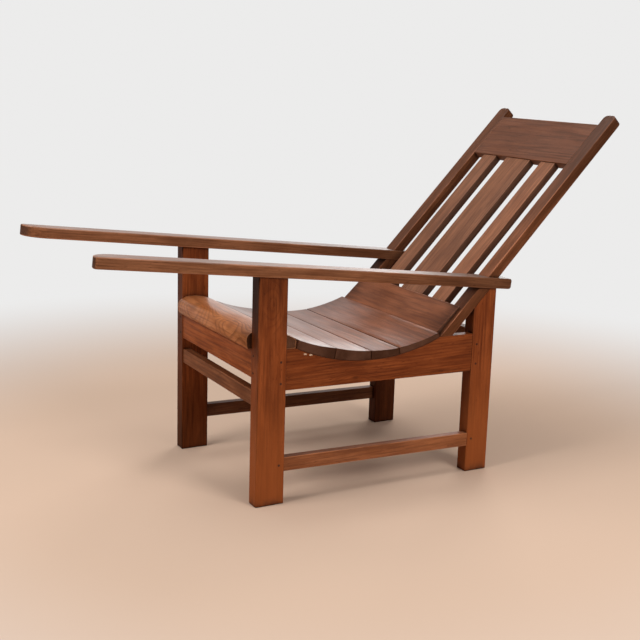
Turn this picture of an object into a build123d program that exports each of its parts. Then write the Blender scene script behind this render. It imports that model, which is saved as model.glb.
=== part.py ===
"""Teak lounge chair with long arms, a hollow slatted seat and a raked slat back.

Frame: X runs across the chair (+X is the sitter's left), -Y points to the sitter's feet, Z is up.
The origin lies on the floor under the middle of the chair's bounding box. All lengths are millimetres.
"""
import math
import os

from build123d import *

os.makedirs("parts", exist_ok=True)

# Posts and overall frame
frame_half_width = 278.0
clear_length = 603.0
post_width = 41.0
front_post_depth = 84.0
rear_post_depth = 75.0
front_post_proud = 4.5
foot_chamfer = 2.5
edge_ease = 1.2

# Side rails, with the hollow that carries the seat
rail_thickness = 26.0
rail_front_bottom = 316.0
rail_rear_bottom = 308.0
rail_front_depth = 113.0
rail_rear_depth = 112.0
rail_waist = 63.0
seat_low_place = 344.0

# Cross rails and stretchers
front_rail_depth = 78.0
front_rail_thickness = 28.0
front_rail_inset = 2.0
rear_rail_depth = 80.0
rear_rail_thickness = 26.0
rear_rail_inset = 26.0
front_stretcher_top = 317.0
front_stretcher_depth = 42.0
front_stretcher_thickness = 24.0
front_stretcher_inset = 3.0
side_stretcher_thickness = 25.0
side_stretcher_depth = 39.0
side_stretcher_front_top = 130.0
side_stretcher_rear_top = 120.0
side_stretcher_proud = 1.0

# Arms
arm_front_height = 659.0
arm_thickness = 30.5
arm_bearing = 20.7
arm_width = 64.0
arm_overhang = 13.5
arm_left_reach = 435.0
arm_right_reach = 466.0
arm_tail = 50.0
arm_sweep_length = 68.0
arm_corner_radius = 9.0
arm_tail_radius = 14.0
arm_edge_radius = 3.0

# Seat
roll_overhang = 14.5
roll_back = 114.0
roll_thickness = 50.0
slat_thickness = 25.0
slat_end_inset = 1.0
slat_gap = 1.6
rear_slat_width = 106.0
rear_slat_thickness = 12.0
rear_slat_top_thickness = 6.0
rear_slat_end_inset = 14.0

# Back
back_angle = 46.5
stile_foot_place = 112.6
stile_width = 48.0
stile_depth = 31.0
stile_length = 857.0
stile_top_radius = 15.0
crest_height = 160.0
crest_drop = 39.0
back_rail_thickness = 26.0
back_slat_thickness = 22.5
back_slat_recess = 3.0
narrow_slat_width = 65.0
wide_slat_width = 116.0
lower_back_rail_place = 22.0
lower_back_rail_height = 55.0

# Joints
tenon_thickness = 12.0
tenon_length = 26.0
slim_tenon_thickness = 10.0
tenon_shoulder = 9.0
slat_tenon_length = 16.0
arm_tenon_height = 20.0
fit_clearance = 0.2
notch_clearance = 0.5
cut_overrun = 10.0
peg_radius = 3.3
peg_sides = 12
peg_length = 33.0
peg_place = 16.0
peg_upper_drop = 33.0
peg_lower_rise = 21.0
peg_proud = 0.4
peg_clearance = 0.05
dowel_radius = 3.3
dowel_sides = 8
dowel_length = 24.0
dowel_rise = 9.0
dowel_margin = 8.0
roll_dowel_spacing = 170.0

# Derived lines. Depths run rearwards from the front posts' front faces, which stand at front_y.
lean = math.radians(back_angle)
rear_post_front = front_post_depth + clear_length
rear_post_back = rear_post_front + rear_post_depth
stile_foot = rear_post_front - stile_foot_place
stile_foot_length = stile_depth / math.sin(lean)
crest_place = stile_length - crest_drop - crest_height
rail_front_top = rail_front_bottom + rail_front_depth
rail_rear_top = rail_rear_bottom + rail_rear_depth
rail_mean_bottom = (rail_front_bottom + rail_rear_bottom) / 2

# The arms' underside runs from the front height to the rear post's top, arm_bearing in front of
# the post's back, where the stile's sloping rear face leaves the post. That sets the arms' fall.
shoulder_end = rear_post_back - arm_bearing
shoulder_top = rail_rear_top + (shoulder_end - stile_foot - stile_foot_length) * math.tan(lean)
arm_drop = arm_front_height - shoulder_top
fall = math.acos(arm_thickness / math.hypot(arm_drop, shoulder_end)) - math.atan2(shoulder_end, arm_drop)

back_reach = stile_foot + stile_length * math.cos(lean) + stile_depth * math.sin(lean)
arm_reach = max(arm_left_reach, arm_right_reach)
front_reach = arm_reach * math.cos(fall) + arm_thickness * math.sin(fall)
front_y = (front_reach - back_reach) / 2

rail_inner = frame_half_width - rail_thickness
front_post_outer = frame_half_width + front_post_proud
front_post_inner = front_post_outer - post_width
rear_post_inner = frame_half_width - post_width
stile_inner = frame_half_width - stile_width
arm_outer = frame_half_width + arm_overhang
arm_inner = arm_outer - arm_width
slat_half_length = frame_half_width - slat_end_inset

# The back's front plane, and the arms' top plane
back_plane = Plane(
    origin=(0, front_y + stile_foot, rail_rear_top),
    x_dir=(1, 0, 0),
    z_dir=(0, -math.sin(lean), math.cos(lean)),
)
arm_plane = Plane(
    origin=(0, front_y, arm_front_height),
    x_dir=(1, 0, 0),
    z_dir=(0, math.sin(fall), math.cos(fall)),
)


def arm_underside(depth):
    """Height of the arms' underside at a depth behind the front posts' front faces."""
    return arm_front_height - depth * math.tan(fall) - arm_thickness / math.cos(fall)


def on_back(along, behind):
    """Side view point on the back: up along it from the stile's foot, and behind its front plane."""
    y = front_y + stile_foot + along * math.cos(lean) + behind * math.sin(lean)
    z = rail_rear_top + along * math.sin(lean) - behind * math.cos(lean)
    return (y, z)


def block(low, high, grow=0, mode=Mode.ADD):
    """A rectangular block between two corners, grown on every side by a clearance."""
    middle = [(a + b) / 2 for a, b in zip(low, high)]
    spans = [b - a + 2 * grow for a, b in zip(low, high)]
    with Locations(tuple(middle)):
        Box(*spans, mode=mode)


def back_block(low, high, grow=0, mode=Mode.ADD):
    """The same, in the back's own directions: across, up along the back, and behind its front plane."""
    with BuildSketch(back_plane.offset(grow - low[2])) as face:
        with Locations(((low[0] + high[0]) / 2, (low[1] + high[1]) / 2)):
            Rectangle(high[0] - low[0] + 2 * grow, high[1] - low[1] + 2 * grow)
    extrude(face.sketch, amount=-(high[2] - low[2] + 2 * grow), mode=mode)


def peg_holes(places, plane):
    """Holes for pegs driven square to a plane that lies on the pegs' outer ends."""
    with BuildSketch(plane) as ends:
        with Locations(*places):
            RegularPolygon(peg_radius + peg_clearance, side_count=peg_sides)
    extrude(ends.sketch, amount=-peg_length - peg_proud, mode=Mode.SUBTRACT)


def pegs(places, plane):
    """Riven pegs, nearly round, with their outer ends on a plane."""
    with BuildSketch(plane) as ends:
        with Locations(*places):
            RegularPolygon(peg_radius, side_count=peg_sides)
    extrude(ends.sketch, amount=-peg_length)


def dowels(seats, grow=0, mode=Mode.ADD):
    """Riven dowels with flats, dowel_rise above their seats' faces and the rest of their length below."""
    for seat in seats:
        with BuildSketch(seat.offset(dowel_rise + grow)) as end:
            RegularPolygon(dowel_radius + grow, side_count=dowel_sides)
        extrude(end.sketch, amount=-dowel_length - 2 * grow, mode=mode)


def write(piece, name):
    """Labels a finished piece and writes it."""
    piece.label = name
    export_step(piece, f"parts/{name}.step")


def write_pair(piece, name):
    """Writes the left piece and its mirrored right twin."""
    write(piece, f"{name}_left")
    with BuildPart() as twin:
        mirror(piece, about=Plane.YZ)
    write(twin.part, f"{name}_right")


# Tenons, shared by the piece that carries each one and the piece that is mortised for it.
# Side rails: one tenon at each end, in the middle of the rail's thickness.
rail_middle = frame_half_width - rail_thickness / 2
rail_tenon_inner = rail_middle - tenon_thickness / 2
rail_tenon_outer = rail_middle + tenon_thickness / 2
rail_front_tenon = (
    (
        rail_tenon_inner,
        front_y + front_post_depth - tenon_length,
        rail_front_bottom + tenon_shoulder,
    ),
    (rail_tenon_outer, front_y + front_post_depth, rail_front_top - tenon_shoulder),
)
rail_rear_tenon = (
    (rail_tenon_inner, front_y + rear_post_front, rail_rear_bottom + tenon_shoulder),
    (rail_tenon_outer, front_y + rear_post_front + tenon_length, rail_rear_top - tenon_shoulder),
)

# Front rail and front stretcher, let into the front posts' inner faces
front_rail_bottom = rail_front_top - front_rail_depth
front_rail_middle = front_y + front_rail_inset + front_rail_thickness / 2
front_rail_tenon = (
    (front_post_inner, front_rail_middle - tenon_thickness / 2, front_rail_bottom + tenon_shoulder),
    (
        front_post_inner + tenon_length,
        front_rail_middle + tenon_thickness / 2,
        rail_front_top - tenon_shoulder,
    ),
)
front_stretcher_bottom = front_stretcher_top - front_stretcher_depth
front_stretcher_middle = front_y + front_stretcher_inset + front_stretcher_thickness / 2
front_stretcher_tenon = (
    (
        front_post_inner,
        front_stretcher_middle - slim_tenon_thickness / 2,
        front_stretcher_bottom + tenon_shoulder,
    ),
    (
        front_post_inner + tenon_length,
        front_stretcher_middle + slim_tenon_thickness / 2,
        front_stretcher_top - tenon_shoulder,
    ),
)

# Rear rail, between the rear posts
rear_rail_bottom = rail_rear_top - rear_rail_depth
rear_rail_front = front_y + rear_post_front + rear_rail_inset
rear_rail_middle = rear_rail_front + rear_rail_thickness / 2
rear_rail_tenon_length = tenon_length - tenon_shoulder
rear_rail_tenon = (
    (rear_post_inner, rear_rail_middle - slim_tenon_thickness / 2, rear_rail_bottom + tenon_shoulder),
    (
        rear_post_inner + rear_rail_tenon_length,
        rear_rail_middle + slim_tenon_thickness / 2,
        rail_rear_top - tenon_shoulder,
    ),
)

# Side stretchers drop a little to the rear. Their tenons stand level at each end.
stretcher_outer = frame_half_width + side_stretcher_proud
stretcher_inner = stretcher_outer - side_stretcher_thickness
stretcher_middle = (stretcher_outer + stretcher_inner) / 2
stretcher_tenon_rise = (side_stretcher_depth - tenon_shoulder) / 2
stretcher_front_middle = side_stretcher_front_top - side_stretcher_depth / 2
stretcher_rear_middle = side_stretcher_rear_top - side_stretcher_depth / 2
stretcher_front_tenon = (
    (
        stretcher_middle - slim_tenon_thickness / 2,
        front_y + front_post_depth - tenon_length,
        stretcher_front_middle - stretcher_tenon_rise,
    ),
    (
        stretcher_middle + slim_tenon_thickness / 2,
        front_y + front_post_depth,
        stretcher_front_middle + stretcher_tenon_rise,
    ),
)
stretcher_rear_tenon = (
    (
        stretcher_middle - slim_tenon_thickness / 2,
        front_y + rear_post_front,
        stretcher_rear_middle - stretcher_tenon_rise,
    ),
    (
        stretcher_middle + slim_tenon_thickness / 2,
        front_y + rear_post_front + tenon_length,
        stretcher_rear_middle + stretcher_tenon_rise,
    ),
)

# Front post's stub tenon into the arm, and the stile's foot tenon into the side rail
arm_tenon_middle = front_y + front_post_depth / 2
arm_tenon_half_depth = front_post_depth / 2 - tenon_shoulder
arm_tenon_half_width = post_width / 2 - tenon_shoulder
front_post_middle = front_post_outer - post_width / 2
arm_tenon_base = arm_underside(front_post_depth) - tenon_shoulder
arm_tenon_top = arm_underside(front_post_depth) + arm_tenon_height
arm_tenon = (
    (
        front_post_middle - arm_tenon_half_width,
        arm_tenon_middle - arm_tenon_half_depth,
        arm_tenon_base,
    ),
    (
        front_post_middle + arm_tenon_half_width,
        arm_tenon_middle + arm_tenon_half_depth,
        arm_tenon_top,
    ),
)
stile_tenon = (
    (rail_tenon_inner, front_y + stile_foot + tenon_shoulder, rail_rear_top - tenon_length),
    (
        rail_tenon_outer,
        front_y + stile_foot + stile_foot_length - tenon_shoulder,
        rail_rear_top,
    ),
)

# Pegs through the tenons. Side joints are pegged from outside, the front rail from the front.
front_pegs = [
    (front_y + front_post_depth - peg_place, rail_front_top - peg_upper_drop),
    (front_y + front_post_depth - peg_place, rail_front_bottom + peg_lower_rise),
    (front_y + front_post_depth - peg_place, stretcher_front_middle),
]
rear_pegs = [
    (front_y + rear_post_front + peg_place, rail_rear_top - peg_upper_drop),
    (front_y + rear_post_front + peg_place, rail_rear_bottom + peg_lower_rise),
    (front_y + rear_post_front + peg_place, stretcher_rear_middle),
]
cross_peg_side = front_post_inner + tenon_length - peg_place + peg_radius
cross_pegs = [
    (cross_peg_side, rail_front_top - front_rail_depth / 5),
    (cross_peg_side, front_rail_bottom + front_rail_depth / 5),
]
front_peg_plane = Plane.YZ.offset(front_post_outer + peg_proud)
rear_peg_plane = Plane.YZ.offset(frame_half_width + peg_proud)
cross_peg_plane = Plane.XZ.offset(-front_y + peg_proud)

# The side rails' hollow is one arc from the roll's back to the stile, and the seat slats follow it
roll_rear = (front_y + roll_back, rail_front_top)
hollow_low = (front_y + seat_low_place, rail_mean_bottom + rail_waist)
hollow_end = (front_y + stile_foot, rail_rear_top)
chord_run = hollow_end[0] - roll_rear[0]
chord_rise = hollow_end[1] - roll_rear[1]
low_run = hollow_low[0] - roll_rear[0]
low_rise = hollow_low[1] - roll_rear[1]
cross = 2 * (chord_run * low_rise - chord_rise * low_run)
chord_square = chord_run**2 + chord_rise**2
low_square = low_run**2 + low_rise**2
centre_y = roll_rear[0] + (low_rise * chord_square - chord_rise * low_square) / cross
centre_z = roll_rear[1] + (chord_run * low_square - low_run * chord_square) / cross
hollow_radius = math.dist((centre_y, centre_z), roll_rear)


def hollow_height(y):
    """Height of the side rails' hollow at a place along the seat."""
    return centre_z - math.sqrt(hollow_radius**2 - (y - centre_y) ** 2)


# Places of the joints between the roll, the four slats of the hollow and the stile's foot
seat_joint_shares = [0, 0.255, 0.507, 0.71, 1]
seat_joints = [roll_rear[0] + share * chord_run for share in seat_joint_shares]


def slat_dowel_seats(i, sides):
    """Where slat i is dowelled to the side rails: two places a side, square to the hollow."""
    seats = []
    for share in (1 / 4, 3 / 4):
        y = seat_joints[i] + share * (seat_joints[i + 1] - seat_joints[i])
        z = hollow_height(y)
        for side in sides:
            way_up = (0, centre_y - y, centre_z - z)
            seats.append(Plane((side * rail_middle, y, z), x_dir=(1, 0, 0), z_dir=way_up))
    return seats


# Dowels from the front rail's top into the roll, and from a rear post's top into the arm
roll_dowel_seats = [
    Plane((x, front_rail_middle, rail_front_top))
    for x in (-roll_dowel_spacing, 0, roll_dowel_spacing)
]
arm_dowel_depth = rear_post_back - dowel_margin
arm_dowel_seats = [
    Plane((rear_post_inner + post_width / 2, front_y + arm_dowel_depth, arm_underside(arm_dowel_depth)))
]
rail_dowel_seats = [seat for i in range(4) for seat in slat_dowel_seats(i, [1])]

# Front posts
with BuildPart() as front_post:
    with BuildSketch(Plane.YZ.offset(front_post_inner)):
        Polygon(
            (front_y, 0),
            (front_y + front_post_depth, 0),
            (front_y + front_post_depth, arm_underside(front_post_depth)),
            (front_y, arm_underside(0)),
            align=None,
        )
    extrude(amount=post_width)
    chamfer(front_post.faces().sort_by(Axis.Z)[0].edges(), length=foot_chamfer)
    chamfer(front_post.edges().filter_by(Axis.Z), length=edge_ease)
    block(*arm_tenon)
    block(*rail_front_tenon, grow=fit_clearance, mode=Mode.SUBTRACT)
    block(*front_rail_tenon, grow=fit_clearance, mode=Mode.SUBTRACT)
    block(*front_stretcher_tenon, grow=fit_clearance, mode=Mode.SUBTRACT)
    block(*stretcher_front_tenon, grow=fit_clearance, mode=Mode.SUBTRACT)
    peg_holes(front_pegs, front_peg_plane)
    peg_holes(cross_pegs, cross_peg_plane)
write_pair(front_post.part, "front_post")

# Rear posts: the top is cut back to the stile's sloping rear face, and the rest carries the arm
shoulder_low = rail_rear_top + (rear_post_front - stile_foot - stile_foot_length) * math.tan(lean)
with BuildPart() as rear_post:
    with BuildSketch(Plane.YZ.offset(rear_post_inner)):
        Polygon(
            (front_y + rear_post_front, 0),
            (front_y + rear_post_back, 0),
            (front_y + rear_post_back, arm_underside(rear_post_back)),
            (front_y + shoulder_end, arm_underside(shoulder_end)),
            (front_y + rear_post_front, shoulder_low),
            align=None,
        )
    extrude(amount=post_width)
    chamfer(rear_post.faces().sort_by(Axis.Z)[0].edges(), length=foot_chamfer)
    chamfer(rear_post.edges().filter_by(Axis.Z), length=edge_ease)
    block(*rail_rear_tenon, grow=fit_clearance, mode=Mode.SUBTRACT)
    block(*rear_rail_tenon, grow=fit_clearance, mode=Mode.SUBTRACT)
    block(*stretcher_rear_tenon, grow=fit_clearance, mode=Mode.SUBTRACT)
    peg_holes(rear_pegs, rear_peg_plane)
    dowels(arm_dowel_seats, grow=peg_clearance, mode=Mode.SUBTRACT)
write_pair(rear_post.part, "rear_post")

# Side rails: a lower edge that falls a little to the rear, the hollow, and a level top behind it
# for the stile's foot
with BuildPart() as side_rail:
    with BuildSketch(Plane.YZ.offset(rail_inner)):
        with BuildLine():
            ThreePointArc(roll_rear, hollow_low, hollow_end)
            Polyline(
                hollow_end,
                (front_y + rear_post_front, rail_rear_top),
                (front_y + rear_post_front, rail_rear_bottom),
                (front_y + front_post_depth, rail_front_bottom),
                (front_y + front_post_depth, rail_front_top),
                roll_rear,
            )
        make_face()
    extrude(amount=rail_thickness)
    rail_underside = side_rail.faces().sort_by(Axis.Z)[0]
    chamfer(rail_underside.edges().sort_by(SortBy.LENGTH)[-2:], length=edge_ease)
    block(*rail_front_tenon)
    block(*rail_rear_tenon)
    block(*stile_tenon, grow=fit_clearance, mode=Mode.SUBTRACT)
    peg_holes(front_pegs, front_peg_plane)
    peg_holes(rear_pegs, rear_peg_plane)
    dowels(rail_dowel_seats, grow=peg_clearance, mode=Mode.SUBTRACT)
write_pair(side_rail.part, "side_rail")

# Cross rails and the front stretcher are made as a left half and mirrored
with BuildPart() as front_rail:
    block(
        (0, front_y + front_rail_inset, front_rail_bottom),
        (front_post_inner, front_y + front_rail_inset + front_rail_thickness, rail_front_top),
    )
    chamfer(front_rail.edges().filter_by(Axis.X).group_by(Axis.Z)[0], length=edge_ease)
    block(*front_rail_tenon)
    peg_holes(cross_pegs, cross_peg_plane)
    mirror(about=Plane.YZ)
    dowels(roll_dowel_seats, grow=peg_clearance, mode=Mode.SUBTRACT)
write(front_rail.part, "front_rail")

with BuildPart() as front_stretcher:
    block(
        (0, front_y + front_stretcher_inset, front_stretcher_bottom),
        (
            front_post_inner,
            front_y + front_stretcher_inset + front_stretcher_thickness,
            front_stretcher_top,
        ),
    )
    chamfer(front_stretcher.edges().filter_by(Axis.X), length=edge_ease)
    block(*front_stretcher_tenon)
    mirror(about=Plane.YZ)
write(front_stretcher.part, "front_stretcher")

with BuildPart() as rear_rail:
    block(
        (0, rear_rail_front, rear_rail_bottom),
        (rear_post_inner, rear_rail_front + rear_rail_thickness, rail_rear_top),
    )
    chamfer(rear_rail.edges().filter_by(Axis.X), length=edge_ease)
    block(*rear_rail_tenon)
    mirror(about=Plane.YZ)
write(rear_rail.part, "rear_rail")

# Side stretchers
with BuildPart() as side_stretcher:
    with BuildSketch(Plane.YZ.offset(stretcher_inner)):
        Polygon(
            (front_y + front_post_depth, side_stretcher_front_top - side_stretcher_depth),
            (front_y + rear_post_front, side_stretcher_rear_top - side_stretcher_depth),
            (front_y + rear_post_front, side_stretcher_rear_top),
            (front_y + front_post_depth, side_stretcher_front_top),
            align=None,
        )
    extrude(amount=side_stretcher_thickness)
    chamfer(side_stretcher.edges().sort_by(SortBy.LENGTH)[-4:], length=edge_ease)
    block(*stretcher_front_tenon)
    block(*stretcher_rear_tenon)
    peg_holes(front_pegs, front_peg_plane)
    peg_holes(rear_pegs, rear_peg_plane)
write_pair(side_stretcher.part, "side_stretcher")

# Back stiles: the foot is cut level to stand on the side rail, the top's corners are rounded
crest_tenon = (
    (stile_inner, crest_place + tenon_shoulder, (back_rail_thickness - tenon_thickness) / 2),
    (
        stile_inner + tenon_length,
        crest_place + crest_height - tenon_shoulder,
        (back_rail_thickness + tenon_thickness) / 2,
    ),
)
lower_back_rail_tenon = (
    (
        stile_inner,
        lower_back_rail_place + tenon_shoulder,
        (back_rail_thickness - tenon_thickness) / 2,
    ),
    (
        stile_inner + tenon_length,
        lower_back_rail_place + lower_back_rail_height - tenon_shoulder,
        (back_rail_thickness + tenon_thickness) / 2,
    ),
)
with BuildPart() as back_stile:
    with BuildSketch(Plane.YZ.offset(stile_inner)):
        Polygon(
            on_back(0, 0),
            (front_y + stile_foot + stile_foot_length, rail_rear_top),
            on_back(stile_length, stile_depth),
            on_back(stile_length, 0),
            align=None,
        )
    extrude(amount=stile_width)
    stile_top = back_stile.faces().sort_by(Axis.Z)[-1]
    fillet(stile_top.edges().sort_by(SortBy.LENGTH)[:2], radius=min(stile_top_radius, stile_width / 3))
    chamfer(back_stile.edges().sort_by(SortBy.LENGTH)[-4:], length=edge_ease)
    block(*stile_tenon)
    back_block(*crest_tenon, grow=fit_clearance, mode=Mode.SUBTRACT)
    back_block(*lower_back_rail_tenon, grow=fit_clearance, mode=Mode.SUBTRACT)
write_pair(back_stile.part, "back_stile")

# Arms: a board with a long sweep at the inner front corner, notched round the stile. The two were
# cut by hand to different lengths in front, so each is made to its own reach.
arm_back = (rear_post_back + arm_tail) / math.cos(fall)
arm_sweep_width = arm_width - arm_corner_radius - arm_edge_radius


def arm(reach):
    """The left arm, reaching forwards of the front posts by a length along the arm."""
    with BuildSketch(arm_plane) as outline:
        with BuildLine():
            sweep = EllipticalCenterArc(
                (arm_inner + arm_sweep_width, arm_sweep_length - reach),
                arm_sweep_width,
                arm_sweep_length,
                start_angle=180,
                arc_size=90,
            )
            Polyline(sweep @ 1, (arm_outer, -reach), (arm_outer, arm_back), (arm_inner, arm_back), sweep @ 0)
        make_face()
        front_corner = outline.vertices().sort_by(Axis.X)[-2:].sort_by(Axis.Y)[0]
        rear_corners = outline.vertices().sort_by(Axis.Y)[-2:]
        fillet(front_corner, radius=arm_corner_radius)
        fillet(rear_corners, radius=arm_tail_radius)
    extrude(outline.sketch, amount=-arm_thickness)
    broad_faces = faces().sort_by(SortBy.AREA)[-2:]
    fillet(broad_faces.edges(), radius=arm_edge_radius)
    with BuildSketch(Plane.YZ.offset(frame_half_width + notch_clearance)) as notch:
        Polygon(
            on_back(0, -notch_clearance),
            on_back(0, stile_depth + notch_clearance),
            on_back(stile_length, stile_depth + notch_clearance),
            on_back(stile_length, -notch_clearance),
            align=None,
        )
    extrude(notch.sketch, amount=-arm_width, mode=Mode.SUBTRACT)
    block(*arm_tenon, grow=fit_clearance, mode=Mode.SUBTRACT)
    dowels(arm_dowel_seats, grow=peg_clearance, mode=Mode.SUBTRACT)


with BuildPart() as left_arm:
    arm(arm_left_reach)
write(left_arm.part, "arm_left")

with BuildPart() as right_arm:
    arm(arm_right_reach)
    mirror(about=Plane.YZ, mode=Mode.REPLACE)
write(right_arm.part, "arm_right")

# Crest, lower back rail and three back slats, each tenoned into its neighbours
slat_tenon_front = back_slat_recess + (back_slat_thickness - slim_tenon_thickness) / 2
slat_tenon_back = slat_tenon_front + slim_tenon_thickness
slats_bottom = lower_back_rail_place + lower_back_rail_height
slats_top = crest_place
slat_space = (2 * stile_inner - wide_slat_width - 2 * narrow_slat_width) / 4
narrow_slat_middle = (wide_slat_width + narrow_slat_width) / 2 + slat_space
back_slats = [(0, wide_slat_width), (narrow_slat_middle, narrow_slat_width)]


def slat_tenon(middle, width):
    """Low and high corner of a back slat's tongue, which runs on into both rails."""
    half = width / 2 - tenon_shoulder
    return (
        (middle - half, slats_bottom - slat_tenon_length, slat_tenon_front),
        (middle + half, slats_top + slat_tenon_length, slat_tenon_back),
    )


with BuildPart() as crest_rail:
    back_block(
        (-stile_inner, crest_place, 0),
        (stile_inner, crest_place + crest_height, back_rail_thickness),
    )
    chamfer(crest_rail.edges().filter_by(Axis.X), length=edge_ease)
    back_block(*crest_tenon)
    mirror(about=Plane.YZ)
    for middle, width in back_slats:
        back_block(*slat_tenon(middle, width), grow=fit_clearance, mode=Mode.SUBTRACT)
        back_block(*slat_tenon(-middle, width), grow=fit_clearance, mode=Mode.SUBTRACT)
write(crest_rail.part, "crest_rail")

with BuildPart() as lower_back_rail:
    back_block(
        (-stile_inner, lower_back_rail_place, 0),
        (stile_inner, slats_bottom, back_rail_thickness),
    )
    back_block(*lower_back_rail_tenon)
    mirror(about=Plane.YZ)
    for middle, width in back_slats:
        back_block(*slat_tenon(middle, width), grow=fit_clearance, mode=Mode.SUBTRACT)
        back_block(*slat_tenon(-middle, width), grow=fit_clearance, mode=Mode.SUBTRACT)
write(lower_back_rail.part, "lower_back_rail")


def back_slat(middle, width):
    """A back slat from rail to rail, with its tongue at both ends."""
    back_block(
        (middle - width / 2, slats_bottom, back_slat_recess),
        (middle + width / 2, slats_top, back_slat_recess + back_slat_thickness),
    )
    back_block(*slat_tenon(middle, width))


with BuildPart() as centre_slat:
    back_slat(0, wide_slat_width)
    chamfer(centre_slat.edges().sort_by(SortBy.LENGTH)[-4:], length=edge_ease)
write(centre_slat.part, "back_slat_centre")

with BuildPart() as narrow_slat:
    back_slat(narrow_slat_middle, narrow_slat_width)
    chamfer(narrow_slat.edges().sort_by(SortBy.LENGTH)[-4:], length=edge_ease)
write_pair(narrow_slat.part, "back_slat")

# Front roll: a thick rounded slat on the front rail, notched round the posts, with ears on the
# side rails. Its section is given from the nose to the back, and from the underside to the top.
roll_section_shares = [
    (0.04, 0.0),
    (0.0, 0.2),
    (0.0, 0.48),
    (0.025, 0.7),
    (0.09, 0.88),
    (0.2, 0.97),
    (0.36, 1.0),
    (0.6, 0.93),
    (0.82, 0.77),
    (1.0, 0.46),
]
roll_width = roll_overhang + roll_back
roll_section = [
    (
        front_y - roll_overhang + along * roll_width,
        rail_front_top + rise * roll_thickness,
    )
    for along, rise in roll_section_shares
]
with BuildPart() as front_roll:
    with BuildSketch(Plane.YZ.offset(-slat_half_length)):
        with BuildLine():
            Spline(*roll_section)
            Polyline(roll_section[-1], roll_rear, roll_section[0])
        make_face()
    extrude(amount=2 * slat_half_length)
    for side in (-1, 1):
        notch_middle = side * (front_post_inner - notch_clearance + post_width)
        with Locations((notch_middle, front_y, rail_front_top)):
            Box(
                2 * post_width,
                2 * (front_post_depth + notch_clearance),
                2 * (roll_thickness + cut_overrun),
                mode=Mode.SUBTRACT,
            )
    dowels(roll_dowel_seats, grow=peg_clearance, mode=Mode.SUBTRACT)
write(front_roll.part, "seat_front_roll")

# Seat slats: the top curve runs from the roll's back edge to the foot of the rear slat, and the
# depth shares are the slats' depths at the three joints between, as shares of slat_thickness.
seat_depth_shares = [1.2, 1.0, 0.76]
seat_top = [(roll_rear[0], roll_section[-1][1])]
for joint_y, share in zip(seat_joints[1:-1], seat_depth_shares):
    seat_top.append((joint_y, hollow_height(joint_y) + share * slat_thickness))
seat_top.append(on_back(0, -rear_slat_thickness))


def unit(a, b):
    """Direction square to the line from a to b, turned upwards."""
    run, rise = b[0] - a[0], b[1] - a[1]
    size = math.hypot(run, rise)
    return (-rise / size, run / size)


joint_ways = [(0, 1)]
joint_ways += [unit(seat_top[i - 1], seat_top[i + 1]) for i in (1, 2, 3)]
joint_ways += [(-math.sin(lean), math.cos(lean))]


def joint_line(i, shift):
    """The line of joint i, moved rearwards by shift, from below the seat to above it."""
    (y, z), (wy, wz) = seat_top[i], joint_ways[i]
    reach = roll_thickness + slat_thickness
    foot = (y + shift * wz - reach * wy, z - shift * wy - reach * wz)
    head = (y + shift * wz + reach * wy, z - shift * wy + reach * wz)
    return foot, head


def seat_slat(i):
    """One slat of the seat: the band between the hollow and the seat's top curve, from joint to joint."""
    front_foot, front_head = joint_line(i, slat_gap / 2)
    back_foot, back_head = joint_line(i + 1, -slat_gap / 2)
    with BuildSketch(Plane.YZ.offset(-slat_half_length)) as section:
        with BuildLine():
            Spline(*seat_top)
            Line(seat_top[-1], hollow_end)
            ThreePointArc(hollow_end, hollow_low, roll_rear)
            Line(roll_rear, seat_top[0])
        make_face()
        Polygon(front_foot, back_foot, back_head, front_head, align=None, mode=Mode.INTERSECT)
    extrude(section.sketch, amount=2 * slat_half_length)
    dowels(slat_dowel_seats(i, [-1, 1]), grow=peg_clearance, mode=Mode.SUBTRACT)


for i, place in enumerate(["front", "second", "third", "fourth"]):
    with BuildPart() as slat:
        seat_slat(i)
    write(slat.part, f"seat_slat_{place}")

# Rear slat: a board that thins towards its top edge, laid on the stiles and the lower back rail
rear_slat_end = frame_half_width - rear_slat_end_inset
with BuildPart() as rear_slat:
    with BuildSketch(Plane.YZ.offset(-rear_slat_end)):
        Polygon(
            on_back(slat_gap / 2, 0),
            on_back(rear_slat_width, 0),
            on_back(rear_slat_width, -rear_slat_top_thickness),
            on_back(slat_gap / 2, -rear_slat_thickness),
            align=None,
        )
    extrude(amount=2 * rear_slat_end)
write(rear_slat.part, "seat_slat_rear")

# Pegs, all of one size, in both sides of the frame
with BuildPart() as joint_pegs:
    pegs(front_pegs, front_peg_plane)
    pegs(rear_pegs, rear_peg_plane)
    pegs(cross_pegs, cross_peg_plane)
    mirror(about=Plane.YZ)
write(joint_pegs.part, "joint_pegs")

# Hidden dowels, all of one size, that hold the slats, the roll and the arms' rear ends
with BuildPart() as hidden_dowels:
    dowels(rail_dowel_seats)
    dowels(arm_dowel_seats)
    mirror(about=Plane.YZ)
    dowels(roll_dowel_seats)
write(hidden_dowels.part, "hidden_dowels")
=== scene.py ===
import math

import bmesh
import bpy
from mathutils import Matrix, Vector


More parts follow.
